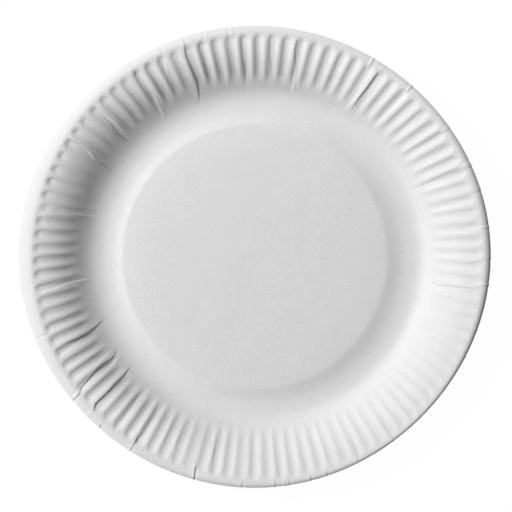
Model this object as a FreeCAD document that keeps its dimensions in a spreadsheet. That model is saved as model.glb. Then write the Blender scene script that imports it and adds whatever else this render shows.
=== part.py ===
import FreeCAD, Part
import math
import os
import Sketcher
from FreeCAD import Vector

# Paper plate, pressed from one round of paperboard
#
# The eating panel stands a little above the foot, the flat ring that the plate rests on.
# Outside the foot the sheet sweeps up as a shallow bowl and a straight wall, bends over at
# the crown and ends in a lip that rolls down to the cut edge. Pressing gathers the surplus
# paper into flutes: sharp ridges with flat-floored valleys between them, which fade in up
# the wall, run over the crown and stop in a pointed end just inside the lip.
#
# The origin is the centre of the foot's underside, with +Z up. Lengths are in millimetres.

doc = FreeCAD.newDocument("paper_plate")

# Driving dimensions

SIZES = [
    ("sheet_thickness", "0.45", "paperboard after pressing"),
    ("rim_radius", "115", "cut edge of the lip"),
    ("panel_radius", "65.5", "crease round the flat panel"),
    ("panel_rise", "1.8", "underside of the panel above the foot"),
    ("skirt_width", "7.5", "slope from the panel's crease down to the foot ring"),
    ("foot_width", "3.9", "flat foot ring that the plate rests on"),
    ("bowl_radius", "13.2", "hollow curve from the foot up to the wall"),
    ("wall_width", "5.5", "straight wall, seen from above, on which the flutes fade in"),
    ("wall_slope", "41", "slope of the wall, degrees"),
    ("crown_slope", "12", "slope where the crown passes into the lip, degrees"),
    ("lip_width", "4.6", "from the crown out to the cut edge"),
    ("lip_slope", "27", "downward slope of the lip at the cut edge, degrees"),
    ("flute_count", "100", "flutes round the wall"),
    ("flute_depth", "0.78", "valley below ridge at the outer end"),
    ("flute_fade_depth", "0.55", "valley below ridge where a flute reaches its full width"),
    ("flute_end_length", "2.4", "pointed outer end of a flute"),
    ("flute_floor_share", "0.34", "flat floor of a flute as a part of one pitch"),
]

sheet = doc.addObject("Spreadsheet::Sheet", "Sizes")
for row, (alias, value, meaning) in enumerate(SIZES, start=1):
    sheet.set("A%d" % row, alias)
    sheet.set("B%d" % row, value)
    sheet.set("C%d" % row, meaning)
    sheet.setAlias("B%d" % row, alias)
doc.recompute()


def size(alias):
    return float(sheet.get(alias))


THICKNESS = size("sheet_thickness")
FOOT_INNER = size("panel_radius") + size("skirt_width")
FOOT_OUTER = FOOT_INNER + size("foot_width")
CROWN_RADIUS = size("rim_radius") - size("lip_width")
COUNT = int(round(size("flute_count")))
PITCH = 360.0 / COUNT
SEWING_TOLERANCE = 1e-5


def sine(degrees):
    return math.sin(math.radians(degrees))


def cosine(degrees):
    return math.cos(math.radians(degrees))


# Section lines of the sheet, from the panel's crease to the cut edge, in the XZ plane

SKIRT, FOOT, BOWL, WALL, CROWN, LIP = range(6)
START, END = range(1, 3)
ORIGIN = (-1, 1)


def guess_section(depth):
    """Geometry close to the solved section line that lies depth below the upper face."""
    steep = size("wall_slope")
    flat = size("crown_slope")
    normal = Vector(-sine(steep), cosine(steep), 0)
    bowl = Vector(FOOT_OUTER, THICKNESS + size("bowl_radius"), 0)
    wall_in = bowl - normal * size("bowl_radius")
    rise = size("wall_width") * sine(steep) / cosine(steep)
    wall_out = wall_in + Vector(size("wall_width"), rise, 0)
    crown_radius = (CROWN_RADIUS - wall_out.x) / (sine(steep) - sine(flat))
    crown = wall_out - normal * crown_radius
    lip_radius = size("lip_width") / (sine(flat) + sine(size("lip_slope")))
    reach = crown_radius - lip_radius
    lip = crown + Vector(-reach * sine(flat), reach * cosine(flat), 0)

    foot_height = THICKNESS - depth
    crease = Vector(size("panel_radius"), size("panel_rise") + foot_height, 0)
    foot_in = Vector(FOOT_INNER, foot_height, 0)
    foot_out = Vector(FOOT_OUTER, foot_height, 0)
    return [
        Part.LineSegment(crease, foot_in),
        Part.LineSegment(foot_in, foot_out),
        arc(bowl, size("bowl_radius") + depth, -90, steep - 90),
        Part.LineSegment(wall_in - normal * depth, wall_out - normal * depth),
        arc(crown, crown_radius - depth, 90 + flat, 90 + steep),
        arc(lip, lip_radius - depth, 90 - size("lip_slope"), 90 + flat),
    ]


def arc(centre, radius, low, high):
    circle = Part.Circle(centre, Vector(0, 0, 1), radius)
    return Part.ArcOfCircle(circle, math.radians(low), math.radians(high))


def section_sketch(name, depth, below):
    """A fully constrained section line; below is its depth in terms of the named sizes."""
    sketch = doc.addObject("Sketcher::SketchObject", name)
    sketch.Placement = FreeCAD.Placement(Vector(), FreeCAD.Rotation(Vector(1, 0, 0), 90))
    sketch.addGeometry(guess_section(depth), False)

    sketch.addConstraint(Sketcher.Constraint("Coincident", SKIRT, END, FOOT, START))
    sketch.addConstraint(Sketcher.Constraint("Horizontal", FOOT))
    sketch.addConstraint(Sketcher.Constraint("Tangent", FOOT, END, BOWL, START))
    sketch.addConstraint(Sketcher.Constraint("Tangent", BOWL, END, WALL, START))
    sketch.addConstraint(Sketcher.Constraint("Tangent", WALL, END, CROWN, END))
    sketch.addConstraint(Sketcher.Constraint("Tangent", CROWN, START, LIP, END))

    def drive(kind, where, label, text):
        value = sketch.evalExpression(text)
        value = float(getattr(value, "Value", value))
        if kind == "Angle":
            value = math.radians(value)
        index = sketch.addConstraint(Sketcher.Constraint(kind, *where, value))
        sketch.renameConstraint(index, label)
        sketch.setExpression("Constraints." + label, text)

    if depth < THICKNESS:
        drive("DistanceY", (*ORIGIN, FOOT, START), "foot_height", "Sizes.sheet_thickness")
    else:
        sketch.addConstraint(Sketcher.Constraint("PointOnObject", FOOT, START, -1))
    drive("DistanceX", (*ORIGIN, SKIRT, START), "crease_radius", "Sizes.panel_radius")
    drive("DistanceY", (FOOT, START, SKIRT, START), "panel_rise", "Sizes.panel_rise")
    drive("DistanceX", (SKIRT, START, SKIRT, END), "skirt_width", "Sizes.skirt_width")
    drive("DistanceX", (FOOT, START, FOOT, END), "foot_width", "Sizes.foot_width")
    drive("Radius", (BOWL,), "bowl_radius", "Sizes.bowl_radius + " + below)
    drive("Angle", (BOWL,), "bowl_sweep", "Sizes.wall_slope * 1 deg")
    drive("DistanceX", (WALL, START, WALL, END), "wall_width", "Sizes.wall_width")
    drive("Angle", (CROWN,), "crown_sweep", "(Sizes.wall_slope - Sizes.crown_slope) * 1 deg")
    crown = "Sizes.rim_radius - Sizes.lip_width + (%s) * sin(Sizes.crown_slope * 1 deg)" % below
    drive("DistanceX", (*ORIGIN, CROWN, START), "crown_radius", crown)
    drive("Angle", (LIP,), "lip_sweep", "(Sizes.crown_slope + Sizes.lip_slope) * 1 deg")
    rim = "Sizes.rim_radius - (%s) * sin(Sizes.lip_slope * 1 deg)" % below
    drive("DistanceX", (*ORIGIN, LIP, START), "rim_radius", rim)
    return sketch


upper_line = section_sketch("upper_line", 0.0, "0")
lower_line = section_sketch("lower_line", THICKNESS, "Sizes.sheet_thickness")
doc.recompute()


# Places on the section lines

def section_edge(sketch, index):
    edge = sketch.Geometry[index].toShape()
    edge.Placement = sketch.Placement
    return edge


def inner_end(sketch, index):
    return min(section_edge(sketch, index).Vertexes, key=lambda vertex: vertex.X).Point


def outer_end(sketch, index):
    return max(section_edge(sketch, index).Vertexes, key=lambda vertex: vertex.X).Point


CROWN_CENTRE = upper_line.Geometry[CROWN].Center
CROWN_BEND = upper_line.Geometry[CROWN].Radius
FULL_WIDTH = inner_end(upper_line, CROWN).x
FLUTE_END = outer_end(upper_line, CROWN).x
END_START = FLUTE_END - size("flute_end_length")


def crown_point(radius, depth):
    """Point square below the crown's upper face, where that face has the given radius."""
    lean = math.asin((CROWN_CENTRE.x - radius) / CROWN_BEND)
    reach = CROWN_BEND - depth
    x = CROWN_CENTRE.x - reach * math.sin(lean)
    return Vector(x, 0, CROWN_CENTRE.y + reach * math.cos(lean))


def crown_line(depth_in, depth_out):
    """Line along the full-width stretch of a flute, which sinks from one depth to another."""
    middle = (FULL_WIDTH + END_START) / 2
    points = [
        crown_point(FULL_WIDTH, depth_in),
        crown_point(middle, (depth_in + 2 * depth_out) / 3),
        crown_point(END_START, depth_out),
    ]
    return Part.Arc(*points).toShape()


# Faces of one pitch, from one valley's middle to the next

AXIS = Vector(0, 0, 1)
RIDGE = PITCH / 2
FLOOR = PITCH * size("flute_floor_share") / 2


def turned(point, angle):
    return FreeCAD.Rotation(AXIS, angle).multVec(point)


def flat_face(*corners):
    return Part.Face(Part.makePolygon([*corners, corners[0]]))


def strip(edge, angle, other, other_angle):
    """Ruled face from an edge turned to one angle to an edge turned to another."""
    first = edge.rotated(Vector(), AXIS, angle)
    last = other.rotated(Vector(), AXIS, other_angle)
    return Part.makeRuledSurface(first, last)


def ring_faces(sketch):
    """Skirt, foot, bowl and lip over one pitch."""
    faces = []
    for index in (SKIRT, FOOT):
        near = inner_end(sketch, index)
        far = outer_end(sketch, index)
        faces.append(flat_face(near, far, turned(far, PITCH), turned(near, PITCH)))
    for index in (BOWL, LIP):
        edge = section_edge(sketch, index)
        faces.append(strip(edge, 0, edge, PITCH))
    return faces


def tip_faces(tip, floor, ridge):
    """Where a flute closes to a point in the middle of its valley."""
    next_tip = turned(tip, PITCH)
    ridge = turned(ridge, RIDGE)
    return [
        flat_face(tip, turned(floor, -FLOOR), turned(floor, FLOOR)),
        flat_face(tip, turned(floor, FLOOR), ridge),
        flat_face(tip, ridge, next_tip),
        flat_face(next_tip, ridge, turned(floor, PITCH - FLOOR)),
    ]


def flute_faces(sketch, depth):
    """Valley floor and flanks over one pitch, on the face that lies depth below the top."""
    fade_depth = depth + size("flute_fade_depth")
    full_depth = depth + size("flute_depth")
    ridge = crown_line(depth, depth)
    floor = crown_line(fade_depth, full_depth)
    faces = [
        strip(floor, -FLOOR, floor, FLOOR),
        strip(floor, FLOOR, ridge, RIDGE),
        strip(ridge, RIDGE, floor, PITCH - FLOOR),
    ]
    fade_tip = inner_end(sketch, WALL)
    end_tip = outer_end(sketch, CROWN)
    faces += tip_faces(fade_tip, crown_point(FULL_WIDTH, fade_depth), crown_point(FULL_WIDTH, depth))
    faces += tip_faces(end_tip, crown_point(END_START, full_depth), crown_point(END_START, depth))
    return faces


def cut_edge_face():
    top = outer_end(upper_line, LIP)
    bottom = outer_end(lower_line, LIP)
    return flat_face(top, bottom, turned(bottom, PITCH), turned(top, PITCH))


one_pitch = doc.addObject("Part::Feature", "one_pitch")
one_pitch.Shape = Part.makeCompound([
    *ring_faces(upper_line),
    *flute_faces(upper_line, 0.0),
    *ring_faces(lower_line),
    *flute_faces(lower_line, THICKNESS),
    cut_edge_face(),
])


# The whole plate: the pitches side by side, closed by the panel above and below

def panel_face(sketch):
    corner = inner_end(sketch, SKIRT)
    return flat_face(*[turned(corner, step * PITCH) for step in range(COUNT)])


def whole_plate():
    faces = [panel_face(upper_line), panel_face(lower_line)]
    for step in range(COUNT):
        faces += one_pitch.Shape.rotated(Vector(), AXIS, step * PITCH).Faces
    skin = Part.makeCompound(faces)
    skin.sewShape(SEWING_TOLERANCE)
    solid = Part.Solid(skin.Shells[0])
    if solid.Volume < 0:
        solid.reverse()
    return solid


plate = doc.addObject("Part::Feature", "plate")
plate.Label = "plate"
plate.Shape = whole_plate()
plate.Placement = FreeCAD.Placement()
doc.recompute()


# Checks and files

for item in doc.Objects:
    if "Invalid" in item.State or "Error" in item.State:
        raise RuntimeError("%s did not recompute" % item.Name)

for sketch in (upper_line, lower_line):
    if sketch.solve() != 0:
        raise RuntimeError("%s is not solved" % sketch.Name)

if plate.Shape.isNull() or not plate.Shape.isValid() or not plate.Shape.isClosed():
    raise RuntimeError("the plate is not a closed, valid solid")

os.makedirs("parts", exist_ok=True)
plate.Shape.exportStep(os.path.join("parts", plate.Label + ".step"))
print("plate", round(plate.Shape.Volume), "mm3,", len(plate.Shape.Faces), "faces")
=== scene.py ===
import math

import bpy
import numpy as np
from bpy.props import FloatProperty, FloatVectorProperty, IntProperty, PointerProperty
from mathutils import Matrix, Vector


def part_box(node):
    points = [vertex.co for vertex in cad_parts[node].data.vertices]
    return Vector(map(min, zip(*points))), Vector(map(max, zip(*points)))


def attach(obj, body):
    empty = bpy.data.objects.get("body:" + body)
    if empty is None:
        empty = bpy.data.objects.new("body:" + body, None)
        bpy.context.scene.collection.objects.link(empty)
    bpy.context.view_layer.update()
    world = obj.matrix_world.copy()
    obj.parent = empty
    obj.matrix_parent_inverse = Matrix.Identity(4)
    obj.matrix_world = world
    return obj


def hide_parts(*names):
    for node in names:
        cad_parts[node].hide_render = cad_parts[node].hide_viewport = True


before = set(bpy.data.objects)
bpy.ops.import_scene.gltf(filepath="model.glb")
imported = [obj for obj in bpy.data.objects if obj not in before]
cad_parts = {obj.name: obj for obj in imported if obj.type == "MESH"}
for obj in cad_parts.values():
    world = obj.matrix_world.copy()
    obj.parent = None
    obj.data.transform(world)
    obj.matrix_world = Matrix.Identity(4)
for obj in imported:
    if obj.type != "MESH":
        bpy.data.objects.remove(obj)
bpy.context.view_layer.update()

bl_info = {
    "name": "Pressed Paper Plate",
    "version": (1, 0, 0),
    "blender": (4, 5, 0),
    "location": "View3D > Sidebar > Paper Plate",
    "description": "A white fluted paper plate seen from above, with its studio stage",
    "category": "Add Mesh",
}

NODE = "plate"
MILLIMETRE = 0.001
NODE_LOW, NODE_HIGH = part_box(NODE)
CAD_RIM = NODE_HIGH.x / MILLIMETRE


# Settings that a user would change

def length(name, description, default):
    """A length in millimetres, as everything in the mesh code is."""
    return FloatProperty(name=name, description=description, default=default, min=0.0)


def angle(name, description, degrees):
    return FloatProperty(
        name=name, description=description, default=math.radians(degrees), subtype="ANGLE"
    )


def grey(name, description, value):
    return FloatVectorProperty(
        name=name, description=description, default=(value, value, value),
        subtype="COLOR", min=0.0, max=1.0,
    )


class PlateSizes(bpy.types.PropertyGroup):
    rim_radius: length("Rim radius", "Mean radius of the cut edge, in mm", CAD_RIM)
    thickness: length("Thickness", "Paperboard after pressing, in mm", 0.45)
    panel_radius: length("Panel radius", "Crease round the flat panel, in mm", 66.4)
    panel_rise: length("Panel rise", "Panel above the foot, in mm", 1.85)
    skirt_width: length("Skirt width", "Slope from the panel's crease to the foot, in mm", 9.8)
    crease_width: length("Crease width", "Rounded part of the skirt inside the crease, in mm", 1.2)
    foot_outer: length("Foot radius", "Outer side of the flat foot ring, in mm", 76.9)
    bowl_radius: length("Bowl curve", "Hollow curve from the foot to the wall, in mm", 12.6)
    wall_width: length("Wall width", "Straight wall seen from above, in mm", 6.8)
    wall_slope: angle("Wall slope", "Slope of the straight wall", 43.8)
    crown_slope: angle("Crown slope", "Slope where the crown meets the lip", 8.5)
    lip_width: length("Lip width", "From the crown to the cut edge, in mm", 4.0)
    flute_count: IntProperty(
        name="Flutes", description="Flutes round the wall", default=100, min=12
    )
    flute_depth: length("Flute depth", "Valley below ridge at the outer end, in mm", 0.80)
    flute_end: length("Flute end", "Length of a flute's rounded outer end, in mm", 4.2)


class PaperLook(bpy.types.PropertyGroup):
    face: grey("Face", "Colour of the smooth upper face", 0.80)
    back: grey("Back", "Colour of the rougher underside", 0.77)
    edge: grey("Cut edge", "Colour of the raw cut edge", 0.74)
    fibre: length("Fibre", "Size of the fibre grain, in mm", 0.55)
    cloud: length("Cloud", "Size of the pulp's cloudy patches, in mm", 9.0)


class StageLook(bpy.types.PropertyGroup):
    key_azimuth: angle("Key azimuth", "Direction of the key lamp round the plate", 161.0)
    key_tilt: angle("Key tilt", "Angle of the key lamp from straight above", 44.5)
    key_distance: FloatProperty(
        name="Key distance", description="Key lamp to plate", default=1.75, unit="LENGTH"
    )
    key_power: FloatProperty(
        name="Key power", description="Power of the key lamp", default=31.5, unit="POWER"
    )
    fill_power: FloatProperty(
        name="Fill power", description="Power of the near fill lamp", default=0.30, unit="POWER"
    )
    sky: FloatProperty(name="Sky", description="Strength of the even light", default=0.01)
    pixel: length("Pixel", "Width of one photograph pixel at the rim, in mm", 0.4935)


# Section of the sheet, in millimetres

# The skirt starts crisply at the panel's crease and runs out slowly into the foot. These
# are (share of its width, steepness), where the mean steepness is about 1.
SKIRT_STEEPNESS = ((0.0, 0.0), (0.08, 1.5), (0.22, 1.85), (0.5, 1.38), (0.75, 0.45), (1.0, 0.0))
SKIRT_SAMPLES = 61


def along(place, pairs):
    """Value at a place, from (place, value) pairs joined by straight lines."""
    places, values = zip(*pairs)
    return np.interp(place, places, values)


class Section:
    """Upper face of the sheet, from the middle of the panel out to the crown."""

    def __init__(self, sizes):
        self.sizes = sizes
        self.crown = sizes.rim_radius - sizes.lip_width
        self.panel_top = sizes.panel_rise + sizes.thickness
        self.foot_top = sizes.thickness
        self.skirt_start = sizes.panel_radius - sizes.crease_width
        self.skirt_span = sizes.skirt_width + sizes.crease_width
        steep = sizes.wall_slope
        self.bowl_centre = self.foot_top + sizes.bowl_radius
        self.bowl_end = sizes.foot_outer + sizes.bowl_radius * math.sin(steep)
        self.bowl_top = self.bowl_centre - sizes.bowl_radius * math.cos(steep)
        self.wall_end = self.bowl_end + sizes.wall_width
        self.wall_top = self.bowl_top + sizes.wall_width * math.tan(steep)
        turned = math.sin(steep) - math.sin(sizes.crown_slope)
        self.crown_bend = (self.crown - self.wall_end) / turned
        self.crown_centre_radius = self.wall_end + self.crown_bend * math.sin(steep)
        self.crown_centre_height = self.wall_top - self.crown_bend * math.cos(steep)

    def height_and_slope(self, radius):
        """Height of the face and its slope, rising outwards, at one radius."""
        sizes = self.sizes
        if radius > self.wall_end:
            lean = math.asin((self.crown_centre_radius - radius) / self.crown_bend)
            return self.crown_centre_height + self.crown_bend * math.cos(lean), lean
        if radius > self.bowl_end:
            rise = (radius - self.bowl_end) * math.tan(sizes.wall_slope)
            return self.bowl_top + rise, sizes.wall_slope
        if radius > sizes.foot_outer:
            lean = math.asin((radius - sizes.foot_outer) / sizes.bowl_radius)
            return self.bowl_centre - sizes.bowl_radius * math.cos(lean), lean
        steepness = along(self.skirt_share(radius), SKIRT_STEEPNESS)
        fall = math.atan(sizes.panel_rise * steepness / self.skirt_span)
        return self.foot_top + sizes.panel_rise * self.raised(radius), -fall

    def skirt_share(self, radius):
        """0 at the inner side of the skirt and inside it, 1 at its foot."""
        return min(max((radius - self.skirt_start) / self.skirt_span, 0.0), 1.0)

    def raised(self, radius):
        """1 on the panel, falling to 0 across the skirt."""
        places = np.linspace(self.skirt_share(radius), 1.0, SKIRT_SAMPLES)
        return float(np.mean(along(places, SKIRT_STEEPNESS))) * (1 - places[0])


# How this plate departs from a perfect round

def harmonics(turn, terms):
    """Sum of cosines round the plate: (order, amplitude, peak angle in degrees)."""
    total = np.zeros_like(turn)
    for order, amplitude, peak in terms:
        total += amplitude * np.cos(order * (turn - math.radians(peak)))
    return total


def around(turn, pairs):
    """Value round the plate, from (angle in degrees, value) pairs joined by straight lines."""
    degrees, values = zip(*pairs)
    return np.interp(np.degrees(turn), degrees, values, period=360)


# Waves round the plate, in mm: the rim's outline, the panel's tilt at its crease, and the
# slight warp of the wall that a thin plate has once it is lifted.
RIM_OVAL = ((0, -0.2, 0.0), (1, 0.38, 142.0), (2, 1.27, 1.0), (3, 0.25, 28.0), (4, 0.40, 1.0))
PANEL_TILT = ((1, 0.45, -20.0),)
WARP = ((2, 0.10, 40.0), (3, 0.08, 75.0), (5, 0.05, 10.0))

# The pressing sits a little off centre, by a different amount at each radius, and its
# crown is drawn out a little to both sides. All in mm.
SHIFT_RADII = (64.0, 75.0, 80.0, 88.0, 111.0)
SHIFT_EAST = (-0.95, 2.3, 2.6, 0.6, 1.15)
SHIFT_NORTH = (0.0, -0.5, -0.5, -0.1, -0.07)
SHIFT_OVAL = (0.0, 0.0, 0.0, 0.0, 0.65)

# How far the lip turns down between the crown and the cut edge, in degrees.
LIP_ROLL = (
    (0, 56), (30, 45), (60, 24), (90, 18), (120, 22), (160, 17), (180, 17), (210, 20),
    (235, 28), (255, 47), (290, 55), (325, 56),
)

# A delay below 1 turns the lip near the crown, and one above 1 turns it near the edge.
ROLL_DELAY = (
    (0, 1.0), (30, 1.0), (60, 0.9), (90, 0.6), (120, 0.5), (150, 0.35), (190, 0.3), (225, 0.6),
    (250, 1.1), (275, 1.5), (300, 1.1), (330, 1.0),
)


def ring_shift(turn, radius):
    """How far a ring of this radius is moved outwards, in mm."""
    east = np.interp(radius, SHIFT_RADII, SHIFT_EAST)
    north = np.interp(radius, SHIFT_RADII, SHIFT_NORTH)
    oval = np.interp(radius, SHIFT_RADII, SHIFT_OVAL)
    return east * np.cos(turn) + north * np.sin(turn) + oval * np.cos(turn) ** 2


# Creases: paper that folded over instead of spreading into a flute.
# Each is a path from its outer to its inner end, of (angle in degrees, radius in mm,
# step in mm); a step is above zero where the paper steps up going anticlockwise.

WALL_CREASES = [
    [(8.7, 108.5, 0.20), (7.7, 100.1, 0.20)],
    [(23.7, 110.0, 0.20), (23.7, 98.7, 0.30), (23.4, 90.3, 0.30), (23.8, 85.4, 0.20)],
    [(41.1, 108.6, -0.24), (39.7, 86.4, -0.24)],
    [(47.3, 108.6, -0.30), (47.7, 87.8, -0.30)],
    [(55.4, 108.1, -0.30), (55.5, 97.5, -0.25), (55.6, 96.0, 0.15), (55.8, 84.4, 0.20)],
    [(56.4, 109.6, 0.45), (56.6, 100.0, 0.70), (56.9, 94.8, 0.60), (56.8, 87.8, 0.30)],
    [(57.4, 96.2, -0.45), (58.6, 87.3, -0.40)],
    [(79.0, 109.6, 0.35), (79.3, 104.6, 0.50), (78.7, 98.7, 0.45), (77.9, 94.3, -0.30),
     (77.5, 84.4, -0.30)],
    [(86.2, 109.6, 0.22), (86.1, 100.2, 0.28), (85.4, 94.3, 0.20), (85.0, 86.9, -0.25)],
    [(93.2, 109.6, -0.20), (93.2, 97.2, -0.15), (93.3, 95.0, 0.25), (93.2, 90.3, 0.30),
     (93.8, 85.4, 0.15)],
    [(98.8, 95.2, -0.30), (99.6, 87.8, -0.30)],
    [(108.3, 111.5, 0.30), (109.1, 104.6, 0.55), (108.9, 98.7, 0.70), (108.6, 91.3, 0.60),
     (109.1, 85.4, 0.45), (110.1, 83.4, 0.30)],
    [(114.5, 109.6, -0.35), (115.8, 100.2, -0.40)],
    [(121.6, 108.6, -0.40), (121.7, 100.2, -0.60), (122.0, 95.2, -0.60), (122.5, 91.3, -0.60),
     (122.9, 85.4, -0.50), (123.3, 83.9, -0.20)],
    [(123.1, 109.6, 0.35), (123.7, 104.6, 0.40), (123.9, 101.2, 0.35), (123.7, 97.2, 0.30)],
    [(136.7, 107.6, -0.80), (136.6, 100.2, -0.90), (136.4, 92.8, -0.80)],
    [(137.4, 102.2, 0.30), (137.4, 95.2, 0.30), (138.0, 93.8, 0.40), (138.0, 86.4, 0.40)],
    [(147.4, 108.6, -1.00), (147.4, 101.7, -1.10), (147.8, 97.2, -1.00), (148.5, 94.3, -0.90),
     (148.6, 93.0, 0.40), (149.1, 83.9, 0.40)],
    [(166.7, 109.6, -0.70), (165.9, 105.6, -0.50)],
    [(167.9, 107.1, 0.90), (168.3, 104.6, 1.00), (167.5, 100.2, 1.00), (167.1, 95.2, 0.90),
     (166.1, 86.9, 0.60), (165.9, 81.9, 0.30)],
    [(187.8, 109.1, -0.30), (187.4, 101.7, -0.30)],
    [(189.3, 106.6, 0.40), (189.1, 101.2, 0.50), (188.3, 96.2, 0.50), (187.9, 91.8, 0.45),
     (187.5, 84.9, 0.35)],
    [(204.2, 109.6, 0.30), (204.4, 104.0, 0.15), (204.4, 102.6, -0.40), (204.8, 97.7, -0.65),
     (204.4, 91.8, -0.65), (203.6, 86.4, -0.50), (202.5, 82.4, -0.30)],
    [(206.8, 107.1, 0.35), (206.2, 100.2, 0.38), (205.6, 95.5, 0.25)],
    [(214.4, 95.2, 0.35), (213.0, 87.3, 0.35)],
    [(216.1, 107.1, -0.25), (215.6, 102.2, -0.30)],
    [(217.7, 110.0, -0.50), (216.9, 107.1, -0.60), (216.3, 102.2, -0.70), (215.4, 97.2, -0.70),
     (215.1, 91.8, -0.70), (215.5, 89.3, -0.60), (215.2, 86.4, -0.50), (214.0, 84.4, -0.30)],
    [(217.5, 91.3, 0.30), (216.1, 84.4, 0.30)],
    [(223.4, 109.6, -0.50), (222.6, 107.1, -0.60), (222.5, 100.2, -0.70), (222.1, 94.3, -0.70),
     (221.9, 87.8, -0.60), (221.5, 84.4, -0.40)],
    [(231.1, 110.0, 0.30), (231.4, 104.6, 0.35), (231.0, 100.2, 0.35), (231.2, 97.2, 0.35),
     (230.7, 92.8, 0.35), (230.7, 89.3, 0.30), (231.4, 84.4, 0.30)],
    [(236.6, 105.5, 0.25), (236.0, 102.6, 0.25), (236.2, 92.0, 0.20)],
    [(237.2, 118.0, -0.60), (237.0, 106.6, -0.50), (237.5, 102.6, -0.30), (237.2, 92.0, -0.20)],
    [(243.6, 103.6, -0.24), (243.6, 93.7, -0.24)],
    [(247.1, 101.2, -0.35), (247.1, 94.3, -0.30)],
    [(257.9, 102.6, -0.30), (258.2, 95.2, -0.30)],
    [(276.5, 109.1, -0.25), (276.1, 106.6, -0.25)],
    [(283.3, 107.6, -0.25), (283.3, 105.1, -0.25)],
    [(297.2, 111.0, -0.25), (297.6, 104.1, -0.25), (298.0, 100.2, -0.20)],
    [(321.1, 109.1, -0.30), (321.7, 107.6, -0.30), (322.1, 101.7, -0.30)],
    [(334.1, 112.0, -0.30), (334.0, 98.7, -0.30)],
    [(340.6, 109.6, 0.30), (340.6, 106.0, 0.30)],
    [(351.7, 109.6, 0.35), (351.8, 104.6, 0.60), (351.5, 98.7, 0.60), (351.3, 91.8, 0.40),
     (351.8, 87.8, 0.30)],
    [(358.6, 110.5, 0.30), (358.6, 106.6, 0.30)],
]

# Short creases in the rolled lip: angle at the cut edge, then angle and radius of the inner
# end, and the step.
LIP_CREASES = [
    (7.0, 7.1, 112.0, 0.45), (7.6, 7.5, 112.0, -0.30), (16.5, 16.5, 111.5, 0.40),
    (22.8, 22.8, 111.0, 0.40), (24.0, 24.0, 111.0, -0.35), (33.4, 33.4, 111.0, 0.40),
    (47.3, 47.3, 110.5, 0.45), (47.9, 47.9, 110.5, -0.40), (55.5, 55.5, 110.5, 0.20),
    (58.9, 58.9, 108.6, 0.45), (59.6, 59.6, 108.6, -0.40), (95.6, 95.5, 109.0, 0.25),
    (97.3, 97.3, 109.0, 0.25), (102.7, 102.7, 110.5, -0.28), (104.5, 104.5, 110.5, -0.22),
    (108.9, 108.3, 110.5, 0.30), (114.8, 114.8, 110.5, 0.25), (122.6, 122.6, 110.0, -0.30),
    (123.3, 123.1, 110.0, 0.30), (130.2, 130.2, 109.5, -0.32), (150.8, 150.7, 106.6, -0.50),
    (200.4, 200.1, 109.0, -0.20), (201.0, 200.7, 109.0, 0.20), (217.6, 217.2, 109.5, 0.30),
    (218.3, 218.0, 109.5, -0.50), (222.9, 223.1, 109.5, 0.30), (227.5, 227.5, 112.5, -0.90),
    (246.3, 246.3, 112.5, -0.20), (254.9, 254.1, 107.6, -0.90), (266.6, 266.6, 111.5, -0.50),
    (275.0, 275.0, 111.0, -0.45), (276.9, 276.9, 111.0, 0.40), (278.5, 278.5, 111.0, -0.35),
    (284.0, 284.0, 111.0, -0.50), (288.0, 288.3, 110.5, -0.50), (296.6, 296.6, 111.5, -0.40),
    (307.1, 307.1, 102.2, -0.35), (316.0, 316.0, 111.5, -0.35), (334.8, 334.8, 112.0, -0.60),
    (340.6, 340.6, 111.0, 0.40), (347.2, 347.2, 111.0, 0.20), (352.8, 352.7, 111.5, 0.60),
    (353.5, 353.4, 111.5, -0.40), (359.3, 359.3, 110.5, 0.40),
]

# Sizes of the creases, in mm. A lip crease starts beyond the cut edge. A crease rises over
# its edge, falls away over its spread, which is less in the lip, and fades at both ends.
# The mesh bends its columns along the strong ones.
BEYOND_EDGE = 118.0
CREASE_EDGE = 0.20
CREASE_SPREAD = ((108.0, 1.7), (113.0, 0.9))
CREASE_FADE = 2.0
STRONG_CREASE = 0.40


class Crease:
    """One fold line, kept from its inner to its outer end."""

    def __init__(self, path):
        angles, radii, steps = zip(*reversed(path))
        self.turns = np.radians(angles)
        self.radii = radii
        self.steps = steps
        self.strong = max(abs(step) for step in steps) >= STRONG_CREASE

    def middle(self, radius):
        """Angle of the fold line at a radius."""
        return np.interp(radius, self.radii, self.turns)

    def height(self, turn, radius):
        """Height that the fold adds, in mm, at each angle and radius."""
        gap = (turn - self.middle(radius) + math.pi) % (2 * math.pi) - math.pi
        across = gap * radius
        spread = along(radius, CREASE_SPREAD)
        near_end = np.minimum(radius - self.radii[0], self.radii[-1] - radius)
        strength = np.clip(near_end / CREASE_FADE + 0.5, 0.0, 1.0)
        step = np.interp(radius, self.radii, self.steps)
        fold = np.tanh(across / CREASE_EDGE) * np.exp(-np.abs(across) / spread)
        return 0.5 * step * strength * fold


ACROSS_WALL = [Crease(path) for path in WALL_CREASES]
ACROSS_LIP = [
    Crease([(edge, BEYOND_EDGE, step), (inner, radius, step)])
    for edge, inner, radius, step in LIP_CREASES
]


def all_creases(turn, radius):
    """Height that all the creases add, in mm, at each angle and radius."""
    return sum(crease.height(turn, radius) for crease in ACROSS_WALL + ACROSS_LIP)


# Flutes

# Where the first flute is, and how far the flutes creep round from even spacing, in
# degrees. They also lean: the skew is added once for each skew width inside the skew
# radius, in mm.
FIRST_FLUTE = 0.4
MEAN_DRIFT = 2.50
FLUTE_DRIFT = ((1, 2.02, -170.0), (2, 0.37, -55.0), (3, 0.07, 36.0))
FLUTE_SKEW = ((1, 0.53, -12.0),)
SKEW_WIDTH = 13.8
SKEW_RADIUS = 105.6

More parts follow.
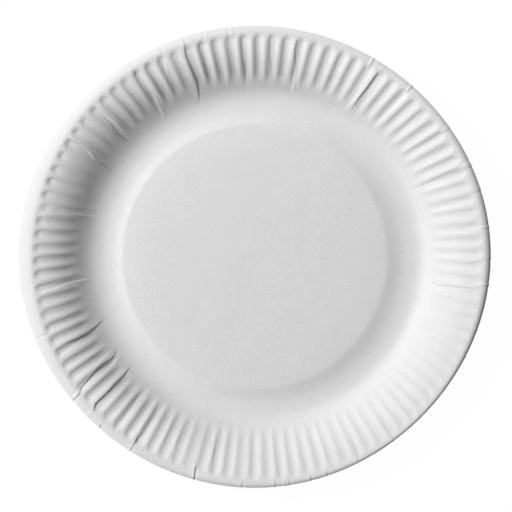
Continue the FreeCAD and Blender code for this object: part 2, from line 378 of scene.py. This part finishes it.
# Depth of the flutes against their full depth, round the plate, and along the wall inside
# their rounded ends.
MEAN_FLUTE_STRENGTH = 0.975
FLUTE_STRENGTH = ((1, 0.35, 115.0), (2, 0.085, 36.0))
WEAK_FLUTES = (
    (130, 1.0), (150, 0.6), (166, 0.6), (178, 1.0), (290, 1.0), (310, 0.75), (330, 1.0),
)

# The flutes fade in outwards: (mm from their start, share of full depth). The start moves
# out from the end of the bowl by the fade shift, in mm.
FADE_IN = (
    (1.5, 0.0), (3.0, 0.26), (4.5, 0.52), (6.5, 0.70), (10.5, 0.86), (16.5, 0.97), (20.0, 1.0),
)
FADE_SHIFT = (
    (0, 0.5), (90, 0.6), (115, 1.9), (140, 2.5), (155, 4.0), (178, 2.5), (195, 2.0), (220, 0.0),
    (240, -1.6), (270, -1.8), (300, -0.5), (330, 0.2),
)

# No two flutes are alike: each leans, in pitches, and differs in depth, as a share.
LEAN_SEED = 11
LEAN_SPREAD = 0.03
DEPTH_SEED = 23
DEPTH_SPREAD = 0.13

# Share of a pitch from the middle of a valley to the side of a ridge, and what follows from
# it for two parabolas that meet there without a corner.
VALLEY_SHARE = 0.31
RIDGE_SHARE = 0.5 - VALLEY_SHARE
VALLEY_BEND = 1 / (VALLEY_SHARE**2 + VALLEY_SHARE * RIDGE_SHARE)
RIDGE_BEND = VALLEY_BEND * VALLEY_SHARE / RIDGE_SHARE


def wave(offset):
    """1 in the middle of a valley, 0 on a ridge; offset is in pitches from the middle."""
    valley = 1 - VALLEY_BEND * offset**2
    ridge = RIDGE_BEND * (0.5 - np.minimum(offset, 0.5)) ** 2
    return np.where(offset < VALLEY_SHARE, valley, ridge)


def flute_drift(turn, radius):
    """How far the flutes have crept round from even spacing, in degrees."""
    drift = MEAN_DRIFT + harmonics(turn, FLUTE_DRIFT)
    skew = harmonics(turn, FLUTE_SKEW) / SKEW_WIDTH
    return drift + skew * (SKEW_RADIUS - radius)


def even_noise(count, seed, spread):
    """Random values, one for each flute, the same in each run."""
    return np.random.default_rng(seed).normal(0.0, spread, count)


def round_noise(turn, values):
    """Values spaced evenly round the plate, joined smoothly."""
    count = len(values)
    place = (turn / (2 * math.pi) * count) % count
    low = np.floor(place).astype(int)
    part = place - low
    blend = part * part * (3 - 2 * part)
    return values[low % count] * (1 - blend) + values[(low + 1) % count] * blend


def flute_fade(section, turn, radius):
    """How far a flute has come up to its full depth at this radius."""
    start = section.bowl_end + around(turn, FADE_SHIFT)
    return along(radius - start, FADE_IN)


def flute_sink(section, turn, radius):
    """Depth of the face below the ridge line, in mm, for the unshifted radius."""
    sizes = section.sizes
    count = sizes.flute_count
    pitch = 2 * math.pi / count
    lean = round_noise(turn, even_noise(count, LEAN_SEED, LEAN_SPREAD))
    place = (turn - np.radians(FIRST_FLUTE + flute_drift(turn, radius))) / pitch + lean
    offset = np.abs((place + 0.5) % 1.0 - 0.5)

    end_start = section.crown - sizes.flute_end
    end = np.clip((radius - end_start) / sizes.flute_end, 0.0, 2.0)
    reach = np.sqrt((2 * offset) ** 2 + end**2)
    shape = wave(np.clip(reach, 0.0, 1.0) / 2)

    vary = 1 + round_noise(turn, even_noise(count, DEPTH_SEED, DEPTH_SPREAD))
    strength = MEAN_FLUTE_STRENGTH + harmonics(turn, FLUTE_STRENGTH)
    inside = np.clip((end_start - radius) / sizes.flute_end + 0.5, 0.0, 1.0)
    strength = strength * (1 - inside * (1 - around(turn, WEAK_FLUTES)))
    return sizes.flute_depth * flute_fade(section, turn, radius) * vary * strength * shape


# Mesh

# Columns round a ring: across the flutes and the lip, underneath, and in the plain middle.
FINE, MIDDLE, COARSE = 2000, 1000, 500


def column_turns(columns, radius):
    """Angles of the columns at a radius, bent so that one follows each strong crease."""
    pitch = 2 * math.pi / FINE
    plain = np.arange(columns) * (2 * math.pi / columns)
    strong = [crease for crease in ACROSS_WALL if crease.strong]
    folds = sorted(strong, key=lambda crease: crease.turns[0])
    starts = [round(crease.turns[0] / pitch) * pitch for crease in folds]
    moves = [crease.middle(radius) - start for crease, start in zip(folds, starts)]
    return plain + np.interp(plain, starts, moves, period=2 * math.pi)


def ring_points(turn, reach, level):
    """Points at these angles, this far from the middle and this high."""
    return np.column_stack((reach * np.cos(turn), reach * np.sin(turn), level))


def wall_ring(section, radius, columns, side):
    """Ring of the panel, skirt, foot, bowl, wall or crown; side is 0 on top and 1 below."""
    sizes = section.sizes
    turn = column_turns(columns, radius)
    share = min(max((radius - section.bowl_end) / (section.crown - section.bowl_end), 0.0), 1.0)
    height, slope = section.height_and_slope(radius)
    shifted = radius + ring_shift(turn, radius)
    out = all_creases(turn, shifted) - flute_sink(section, turn, float(radius))
    out = out - side * sizes.thickness
    tilt = section.raised(radius) * radius / sizes.panel_radius * harmonics(turn, PANEL_TILT)
    reach = shifted - out * math.sin(slope)
    level = height + tilt + share * harmonics(turn, WARP) + out * math.cos(slope)
    return ring_points(turn, reach, level)


# The lip's curve is added up from this many short straight steps.
LIP_STEPS = 40


def lip_ring(section, part, columns, side):
    """Ring of the lip; part runs from 0 at the crown to 1 at the cut edge."""
    sizes = section.sizes
    turn = column_turns(columns, section.crown + part * sizes.lip_width)
    crown = section.crown + ring_shift(turn, section.crown)
    rim = sizes.rim_radius + harmonics(turn, RIM_OVAL)
    delay = around(turn, ROLL_DELAY)
    places = (np.arange(LIP_STEPS) + 0.5) / LIP_STEPS
    turned = sizes.crown_slope + np.radians(around(turn, LIP_ROLL))
    slopes = sizes.crown_slope - turned * places[:, None] ** delay
    step = (rim - crown) / np.cos(slopes).sum(axis=0)
    done = round(part * LIP_STEPS)
    radius = crown + step * np.cos(slopes[:done]).sum(axis=0)
    height = section.height_and_slope(section.crown)[0] + harmonics(turn, WARP)
    height = height + step * np.sin(slopes[:done]).sum(axis=0)
    slope = sizes.crown_slope - turned * part**delay
    out = all_creases(turn, radius) - side * sizes.thickness
    return ring_points(turn, radius - out * np.sin(slope), height + out * np.cos(slope))


# The first ring's radius, as a share of the radius where the skirt starts.
FIRST_RING_SHARE = 0.15

# In mm: the flutes' rings start this far inside the end of the bowl, and they close up
# from this far inside the flutes' rounded ends.
FLUTE_LEAD = 3.4
END_LEAD = 0.6

# Numbers of rings. Those of the flutes are across the wall, then across the rounded ends.
PANEL_RINGS, SKIRT_RINGS, BOWL_RINGS = 5, 12, 5
RINGS_ON_TOP = (14, 8)
RINGS_BELOW = (8, 4)

# Rings of the lip, as shares of its width from the crown.
LIP_ON_TOP = (0.1, 0.2, 0.35, 0.5, 0.65, 0.8, 0.9, 1.0)
LIP_BELOW = (0.8, 0.5, 0.25)


def inner_radii(section):
    """Radii of the plain rings, from the middle of the panel to the foot of the flutes."""
    sizes = section.sizes
    inner = section.skirt_start
    panel = np.linspace(inner * FIRST_RING_SHARE, inner, PANEL_RINGS)
    skirt = np.linspace(inner, sizes.foot_outer, SKIRT_RINGS)
    bowl = np.linspace(sizes.foot_outer, section.bowl_end - FLUTE_LEAD, BOWL_RINGS)
    return [*panel, *skirt[1:], *bowl[1:-1]]


def fluted_radii(section, wall_rings, end_rings):
    """Radii of the rings across the flutes, closer together at their outer ends."""
    slow = section.crown - section.sizes.flute_end - END_LEAD
    wall = np.linspace(section.bowl_end - FLUTE_LEAD, slow, wall_rings, endpoint=False)
    ends = np.linspace(slow, section.crown, end_rings)
    return [*wall, *ends]


def plate_rings(section):
    """Rings in order: top from the middle outwards, then underneath back to the middle."""
    plain = inner_radii(section)
    fluted_top = fluted_radii(section, *RINGS_ON_TOP)
    fluted_below = fluted_radii(section, *RINGS_BELOW)
    top = [wall_ring(section, radius, COARSE, 0) for radius in plain]
    top += [wall_ring(section, radius, FINE, 0) for radius in fluted_top]
    top += [lip_ring(section, part, FINE, 0) for part in LIP_ON_TOP]
    under = [lip_ring(section, 1.0, FINE, 1)]
    under += [lip_ring(section, part, MIDDLE, 1) for part in LIP_BELOW]
    under += [wall_ring(section, radius, MIDDLE, 1) for radius in reversed(fluted_below)]
    under += [wall_ring(section, radius, COARSE, 1) for radius in reversed(plain)]
    return top, under


def bridge(near_start, near_count, far_start, far_count):
    """Faces between two rings that run the same way round; one count divides the other."""
    if near_count == far_count:
        here = np.arange(near_count)
        after = (here + 1) % near_count
        corners = (near_start + here, far_start + here, far_start + after, near_start + after)
        return np.column_stack(corners).tolist()
    if near_count > far_count:
        turned = bridge(far_start, far_count, near_start, near_count)
        return [face[::-1] for face in turned]
    times = far_count // near_count
    half = times // 2
    faces = []
    for place in range(near_count):
        here, after = near_start + place, near_start + (place + 1) % near_count
        fine = [far_start + (place * times + step) % far_count for step in range(times + 1)]
        faces += [(here, fine[step], fine[step + 1]) for step in range(half)]
        faces.append((here, fine[half], after))
        faces += [(after, fine[step], fine[step + 1]) for step in range(half, times)]
    return faces


TOP, UNDER, EDGE = range(3)
SHARP_CORNER = math.radians(50.0)


def build_plate_mesh(sizes):
    """The whole sheet as one closed mesh, with the paper's finishes as its materials."""
    section = Section(sizes)
    top, under = plate_rings(section)
    rings = top + under
    counts = [len(ring) for ring in rings]
    starts = [0, *np.cumsum(counts).tolist()]
    bands = [TOP] * (len(top) - 1) + [EDGE] + [UNDER] * (len(under) - 1)

    faces, kinds = [], []
    for index, kind in enumerate(bands):
        new = bridge(starts[index], counts[index], starts[index + 1], counts[index + 1])
        faces += new
        kinds += [kind] * len(new)

    middle_top = starts[-1]
    middle_under = middle_top + 1
    last = starts[-2]
    middles = [
        (0.0, 0.0, section.panel_top),
        (0.0, 0.0, section.panel_top - sizes.thickness),
    ]
    for here in range(COARSE):
        after = (here + 1) % COARSE
        faces.append((middle_top, here, after))
        faces.append((last + here, middle_under, last + after))
        kinds += [TOP, UNDER]

    points = np.vstack((*rings, middles)) * MILLIMETRE
    mesh = bpy.data.meshes.new("pressed_plate")
    mesh.from_pydata(points.tolist(), [], faces)
    mesh.polygons.foreach_set("material_index", kinds)
    mesh.shade_smooth()
    mesh.set_sharp_from_angle(angle=SHARP_CORNER)
    mesh.validate()
    mesh.update()
    return mesh


# Paper

# Grain: how fine the noise is, the part of it that shows, and how much it lightens and
# darkens the paper.
NOISE_ROUGHNESS = 0.6
FIBRE_DETAIL = 3.0
FIBRE_RANGE = (0.25, 0.75)
FIBRE_TONE = 0.095
CLOUD_DETAIL = 2.0
CLOUD_RANGE = (0.3, 0.7)
CLOUD_TONE = 0.014

# Dark specks: cells per metre, the soft edge of a speck in cells, and its tone.
SPECK_CELLS = 110.0
SPECK_EDGE = (0.018, 0.045)
SPECK_TONE = 0.90

# Towards the lip, between the first radii in metres, the press leaves less grain. Between the
# second radii the face is painted brighter: painted light for the light that the crown and lip
# catch.
CALM_RADII = (0.100, 0.112)
CALM_GRAIN = 0.45
PAINTED_LIGHT_RADII = (0.094, 0.112)
PAINTED_LIGHT_TONE = 1.07

PAPER_SPECULAR = 0.05


def new_nodes(owner):
    """Empty node tree of a material or world."""
    owner.use_nodes = True
    owner.node_tree.nodes.clear()
    return owner.node_tree.nodes, owner.node_tree.links


def noise(nodes, links, place, size, detail):
    node = nodes.new("ShaderNodeTexNoise")
    node.inputs["Detail"].default_value = detail
    node.inputs["Roughness"].default_value = NOISE_ROUGHNESS
    links.new(place, node.inputs["Vector"])
    links.new(size, node.inputs["Scale"])
    return node.outputs["Fac"]


def mapped(nodes, links, value, low, high, to_low, to_high):
    """Maps low to high onto to_low to to_high, with no value outside them."""
    node = nodes.new("ShaderNodeMapRange")
    node.inputs["From Min"].default_value = low
    node.inputs["From Max"].default_value = high
    node.inputs["To Min"].default_value = to_low
    node.inputs["To Max"].default_value = to_high
    links.new(value, node.inputs["Value"])
    return node.outputs["Result"]


def arithmetic(nodes, links, kind, first, second):
    node = nodes.new("ShaderNodeMath")
    node.operation = kind
    for socket, value in zip(node.inputs, (first, second)):
        if isinstance(value, (int, float)):
            socket.default_value = value
        else:
            links.new(value, socket)
    return node.outputs["Value"]


def paper_grain_group():
    """Fibre grain, cloudy pulp, a few dark specks and painted light towards the lip, as a colour
    and a height.
    """
    group = bpy.data.node_groups.new("Paper Grain", "ShaderNodeTree")
    sockets = group.interface
    sockets.new_socket("Colour", in_out="INPUT", socket_type="NodeSocketColor")
    sockets.new_socket("Fibres Per Metre", in_out="INPUT", socket_type="NodeSocketFloat")
    sockets.new_socket("Clouds Per Metre", in_out="INPUT", socket_type="NodeSocketFloat")
    sockets.new_socket("Contrast", in_out="INPUT", socket_type="NodeSocketFloat")
    sockets.new_socket("Colour", in_out="OUTPUT", socket_type="NodeSocketColor")
    sockets.new_socket("Height", in_out="OUTPUT", socket_type="NodeSocketFloat")
    nodes, links = group.nodes, group.links
    given = nodes.new("NodeGroupInput")
    result = nodes.new("NodeGroupOutput")
    place = nodes.new("ShaderNodeTexCoord").outputs["Object"]

    fibre = noise(nodes, links, place, given.outputs["Fibres Per Metre"], FIBRE_DETAIL)
    cloud = noise(nodes, links, place, given.outputs["Clouds Per Metre"], CLOUD_DETAIL)
    speck_cells = nodes.new("ShaderNodeTexVoronoi")
    speck_cells.inputs["Scale"].default_value = SPECK_CELLS
    links.new(place, speck_cells.inputs["Vector"])
    speck_reach = speck_cells.outputs["Distance"]
    speck = mapped(nodes, links, speck_reach, *SPECK_EDGE, SPECK_TONE, 1.0)

    fibre_tone = mapped(nodes, links, fibre, *FIBRE_RANGE, -FIBRE_TONE, FIBRE_TONE)
    cloud_tone = mapped(nodes, links, cloud, *CLOUD_RANGE, -CLOUD_TONE, CLOUD_TONE)
    tone = arithmetic(nodes, links, "ADD", fibre_tone, cloud_tone)
    tone = arithmetic(nodes, links, "MULTIPLY", tone, given.outputs["Contrast"])

    across = nodes.new("ShaderNodeVectorMath")
    across.operation = "MULTIPLY"
    across.inputs[1].default_value = (1.0, 1.0, 0.0)
    links.new(place, across.inputs[0])
    reach = nodes.new("ShaderNodeVectorMath")
    reach.operation = "LENGTH"
    links.new(across.outputs["Vector"], reach.inputs[0])
    calm = mapped(nodes, links, reach.outputs["Value"], *CALM_RADII, 1.0, CALM_GRAIN)
    # Painted light: the colour brightens outwards over the wall, crown and lip, standing in for
    # the light they catch.
    painted_light = mapped(nodes, links, reach.outputs["Value"], *PAINTED_LIGHT_RADII, 1.0, PAINTED_LIGHT_TONE)
    tone = arithmetic(nodes, links, "MULTIPLY", tone, calm)
    tone = arithmetic(nodes, links, "ADD", tone, 1.0)
    tone = arithmetic(nodes, links, "MULTIPLY", tone, speck)
    tone = arithmetic(nodes, links, "MULTIPLY", tone, painted_light)

    tinted = nodes.new("ShaderNodeVectorMath")
    tinted.operation = "SCALE"
    links.new(given.outputs["Colour"], tinted.inputs[0])
    links.new(tone, tinted.inputs["Scale"])
    links.new(tinted.outputs["Vector"], result.inputs["Colour"])
    links.new(fibre, result.inputs["Height"])
    return group


def paper_material(name, group, look, colour, contrast, relief, roughness):
    """Paper of one finish; contrast is the grain's, and relief is its height in mm."""
    material = bpy.data.materials.new(name)
    nodes, links = new_nodes(material)
    grain = nodes.new("ShaderNodeGroup")
    grain.node_tree = group
    grain.inputs["Colour"].default_value = (*colour, 1.0)
    grain.inputs["Fibres Per Metre"].default_value = 1 / (look.fibre * MILLIMETRE)
    grain.inputs["Clouds Per Metre"].default_value = 1 / (look.cloud * MILLIMETRE)
    grain.inputs["Contrast"].default_value = contrast
    bump = nodes.new("ShaderNodeBump")
    bump.inputs["Strength"].default_value = 1.0
    bump.inputs["Distance"].default_value = relief * MILLIMETRE
    surface = nodes.new("ShaderNodeBsdfPrincipled")
    surface.inputs["Roughness"].default_value = roughness
    surface.inputs["Specular IOR Level"].default_value = PAPER_SPECULAR
    output = nodes.new("ShaderNodeOutputMaterial")
    links.new(grain.outputs["Height"], bump.inputs["Height"])
    links.new(grain.outputs["Colour"], surface.inputs["Base Color"])
    links.new(bump.outputs["Normal"], surface.inputs["Normal"])
    links.new(surface.outputs["BSDF"], output.inputs["Surface"])
    return material


class PLATE_OT_press(bpy.types.Operator):
    """Press the plate: one sheet with its panel, foot, fluted wall, creases and lip"""
    bl_idname = "paper_plate.press"
    bl_label = "Press the Plate"

    def execute(self, context):
        scene = context.scene
        look = scene.paper_look
        piece = bpy.data.objects.new("pressed_plate", build_plate_mesh(scene.plate_sizes))
        scene.collection.objects.link(piece)
        group = paper_grain_group()
        # In the order of TOP, UNDER and EDGE: name, colour, contrast, relief and roughness.
        finishes = (
            ("Pressed face", look.face, 1.0, 0.05, 0.8),
            ("Pulp back", look.back, 1.2, 0.06, 0.85),
            ("Cut edge", look.edge, 1.5, 0.08, 0.9),
        )
        for name, colour, contrast, relief, roughness in finishes:
            material = paper_material(name, group, look, colour, contrast, relief, roughness)
            piece.data.materials.append(material)
        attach(piece, "root")
        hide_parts(NODE)
        return {"FINISHED"}


# Stage

# Floor: its width in metres, its grey in the light that it throws back, the grey that
# takes the shadow before the camera, and the white that glows under that.
FLOOR_SIZE = 6.0
BOUNCE_GREY = 0.8
SHADOW_GREY = 0.025
FLOOR_GLOW = 0.985

# Lamps: sizes and distance in metres.
KEY_SIZE = 0.45
FILL_SIZE = 0.25
FILL_DISTANCE = 0.55
FILL_AZIMUTH = math.radians(80.0)
FILL_TILT = math.radians(45.0)

# Camera: lens and sensor in mm, and where the plate's centre lies in the photograph.
CAMERA_LENS = 180.0
SENSOR = 36.0
PHOTO_PIXELS = 512
PLATE_CENTRE_PIXEL = (255.3, 256.8)


def floor_material():
    """Pale floor: white to the camera with a trace of shadow, matte to everything else."""
    material = bpy.data.materials.new("Studio floor")
    nodes, links = new_nodes(material)
    bounce = nodes.new("ShaderNodeBsdfDiffuse")
    bounce.inputs["Color"].default_value = (BOUNCE_GREY, BOUNCE_GREY, BOUNCE_GREY, 1.0)
    shade = nodes.new("ShaderNodeBsdfDiffuse")
    shade.inputs["Color"].default_value = (SHADOW_GREY, SHADOW_GREY, SHADOW_GREY, 1.0)
    glow = nodes.new("ShaderNodeEmission")
    glow.inputs["Strength"].default_value = FLOOR_GLOW
    seen = nodes.new("ShaderNodeAddShader")
    links.new(shade.outputs["BSDF"], seen.inputs[0])
    links.new(glow.outputs["Emission"], seen.inputs[1])
    ray = nodes.new("ShaderNodeLightPath")
    direct = arithmetic(
        nodes, links, "MAXIMUM", ray.outputs["Is Camera Ray"], ray.outputs["Is Glossy Ray"]
    )
    direct = arithmetic(nodes, links, "MAXIMUM", direct, ray.outputs["Is Transmission Ray"])
    mix = nodes.new("ShaderNodeMixShader")
    output = nodes.new("ShaderNodeOutputMaterial")
    links.new(direct, mix.inputs["Fac"])
    links.new(bounce.outputs["BSDF"], mix.inputs[1])
    links.new(seen.outputs["Shader"], mix.inputs[2])
    links.new(mix.outputs["Shader"], output.inputs["Surface"])
    return material


def add_floor(scene):
    half = FLOOR_SIZE / 2
    corners = [(-half, -half, 0), (half, -half, 0), (half, half, 0), (-half, half, 0)]
    mesh = bpy.data.meshes.new("floor")
    mesh.from_pydata(corners, [], [(0, 1, 2, 3)])
    mesh.materials.append(floor_material())
    floor = bpy.data.objects.new("floor", mesh)
    floor.location.z = NODE_LOW.z
    scene.collection.objects.link(floor)


def add_lamp(scene, name, size, azimuth, tilt, distance, power):
    """A round lamp that faces the middle of the plate."""
    lamp = bpy.data.lights.new(name, "AREA")
    lamp.shape = "DISK"
    lamp.size = size
    lamp.energy = power
    away = Vector((
        math.sin(tilt) * math.cos(azimuth),
        math.sin(tilt) * math.sin(azimuth),
        math.cos(tilt),
    ))
    holder = bpy.data.objects.new(name, lamp)
    holder.location = away * distance
    holder.rotation_euler = away.to_track_quat("Z", "Y").to_euler()
    scene.collection.objects.link(holder)


def add_sky(scene, stage):
    world = bpy.data.worlds.new("Studio")
    scene.world = world
    nodes, links = new_nodes(world)
    sky = nodes.new("ShaderNodeBackground")
    sky.inputs["Color"].default_value = (1.0, 1.0, 1.0, 1.0)
    sky.inputs["Strength"].default_value = stage.sky
    output = nodes.new("ShaderNodeOutputWorld")
    links.new(sky.outputs["Background"], output.inputs["Surface"])


def add_camera(scene, stage):
    """Straight down from above, so that the rim fills the photograph's frame."""
    pixel = stage.pixel * MILLIMETRE
    lens = bpy.data.cameras.new("camera")
    lens.lens = CAMERA_LENS
    lens.sensor_width = SENSOR
    holder = bpy.data.objects.new("camera", lens)
    distance = pixel * PHOTO_PIXELS * CAMERA_LENS / SENSOR
    middle = PHOTO_PIXELS / 2
    holder.location = (
        (middle - PLATE_CENTRE_PIXEL[0]) * pixel,
        (PLATE_CENTRE_PIXEL[1] - middle) * pixel,
        NODE_HIGH.z + distance,
    )
    scene.collection.objects.link(holder)
    scene.camera = holder


class PLATE_OT_stage(bpy.types.Operator):
    """Set the stage: floor, two lamps, even light and the camera above the plate"""
    bl_idname = "paper_plate.stage"
    bl_label = "Set the Stage"

    def execute(self, context):
        scene = context.scene
        stage = scene.stage_look
        add_floor(scene)
        add_lamp(
            scene, "key_lamp", KEY_SIZE, stage.key_azimuth, stage.key_tilt, stage.key_distance,
            stage.key_power,
        )
        add_lamp(
            scene, "fill_lamp", FILL_SIZE, FILL_AZIMUTH, FILL_TILT, FILL_DISTANCE,
            stage.fill_power,
        )
        add_sky(scene, stage)
        add_camera(scene, stage)
        scene.view_settings.view_transform = "Standard"
        return {"FINISHED"}


# Panel and registration

class PLATE_PT_panel(bpy.types.Panel):
    bl_idname = "PLATE_PT_panel"
    bl_label = "Paper Plate"
    bl_space_type = "VIEW_3D"
    bl_region_type = "UI"
    bl_category = "Paper Plate"

    def draw(self, context):
        layout = self.layout
        for group in (context.scene.plate_sizes, context.scene.paper_look):
            for name in group.__annotations__:
                layout.prop(group, name)
        layout.operator(PLATE_OT_press.bl_idname)
        for name in context.scene.stage_look.__annotations__:
            layout.prop(context.scene.stage_look, name)
        layout.operator(PLATE_OT_stage.bl_idname)


CLASSES = (PlateSizes, PaperLook, StageLook, PLATE_OT_press, PLATE_OT_stage, PLATE_PT_panel)


def register():
    for cls in CLASSES:
        bpy.utils.register_class(cls)
    bpy.types.Scene.plate_sizes = PointerProperty(type=PlateSizes)
    bpy.types.Scene.paper_look = PointerProperty(type=PaperLook)
    bpy.types.Scene.stage_look = PointerProperty(type=StageLook)


def unregister():
    del bpy.types.Scene.stage_look
    del bpy.types.Scene.paper_look
    del bpy.types.Scene.plate_sizes
    for cls in reversed(CLASSES):
        bpy.utils.unregister_class(cls)


def main():
    """Press the plate and set the stage."""
    register()
    bpy.ops.paper_plate.press()
    bpy.ops.paper_plate.stage()


if __name__ == "__main__":
    main()
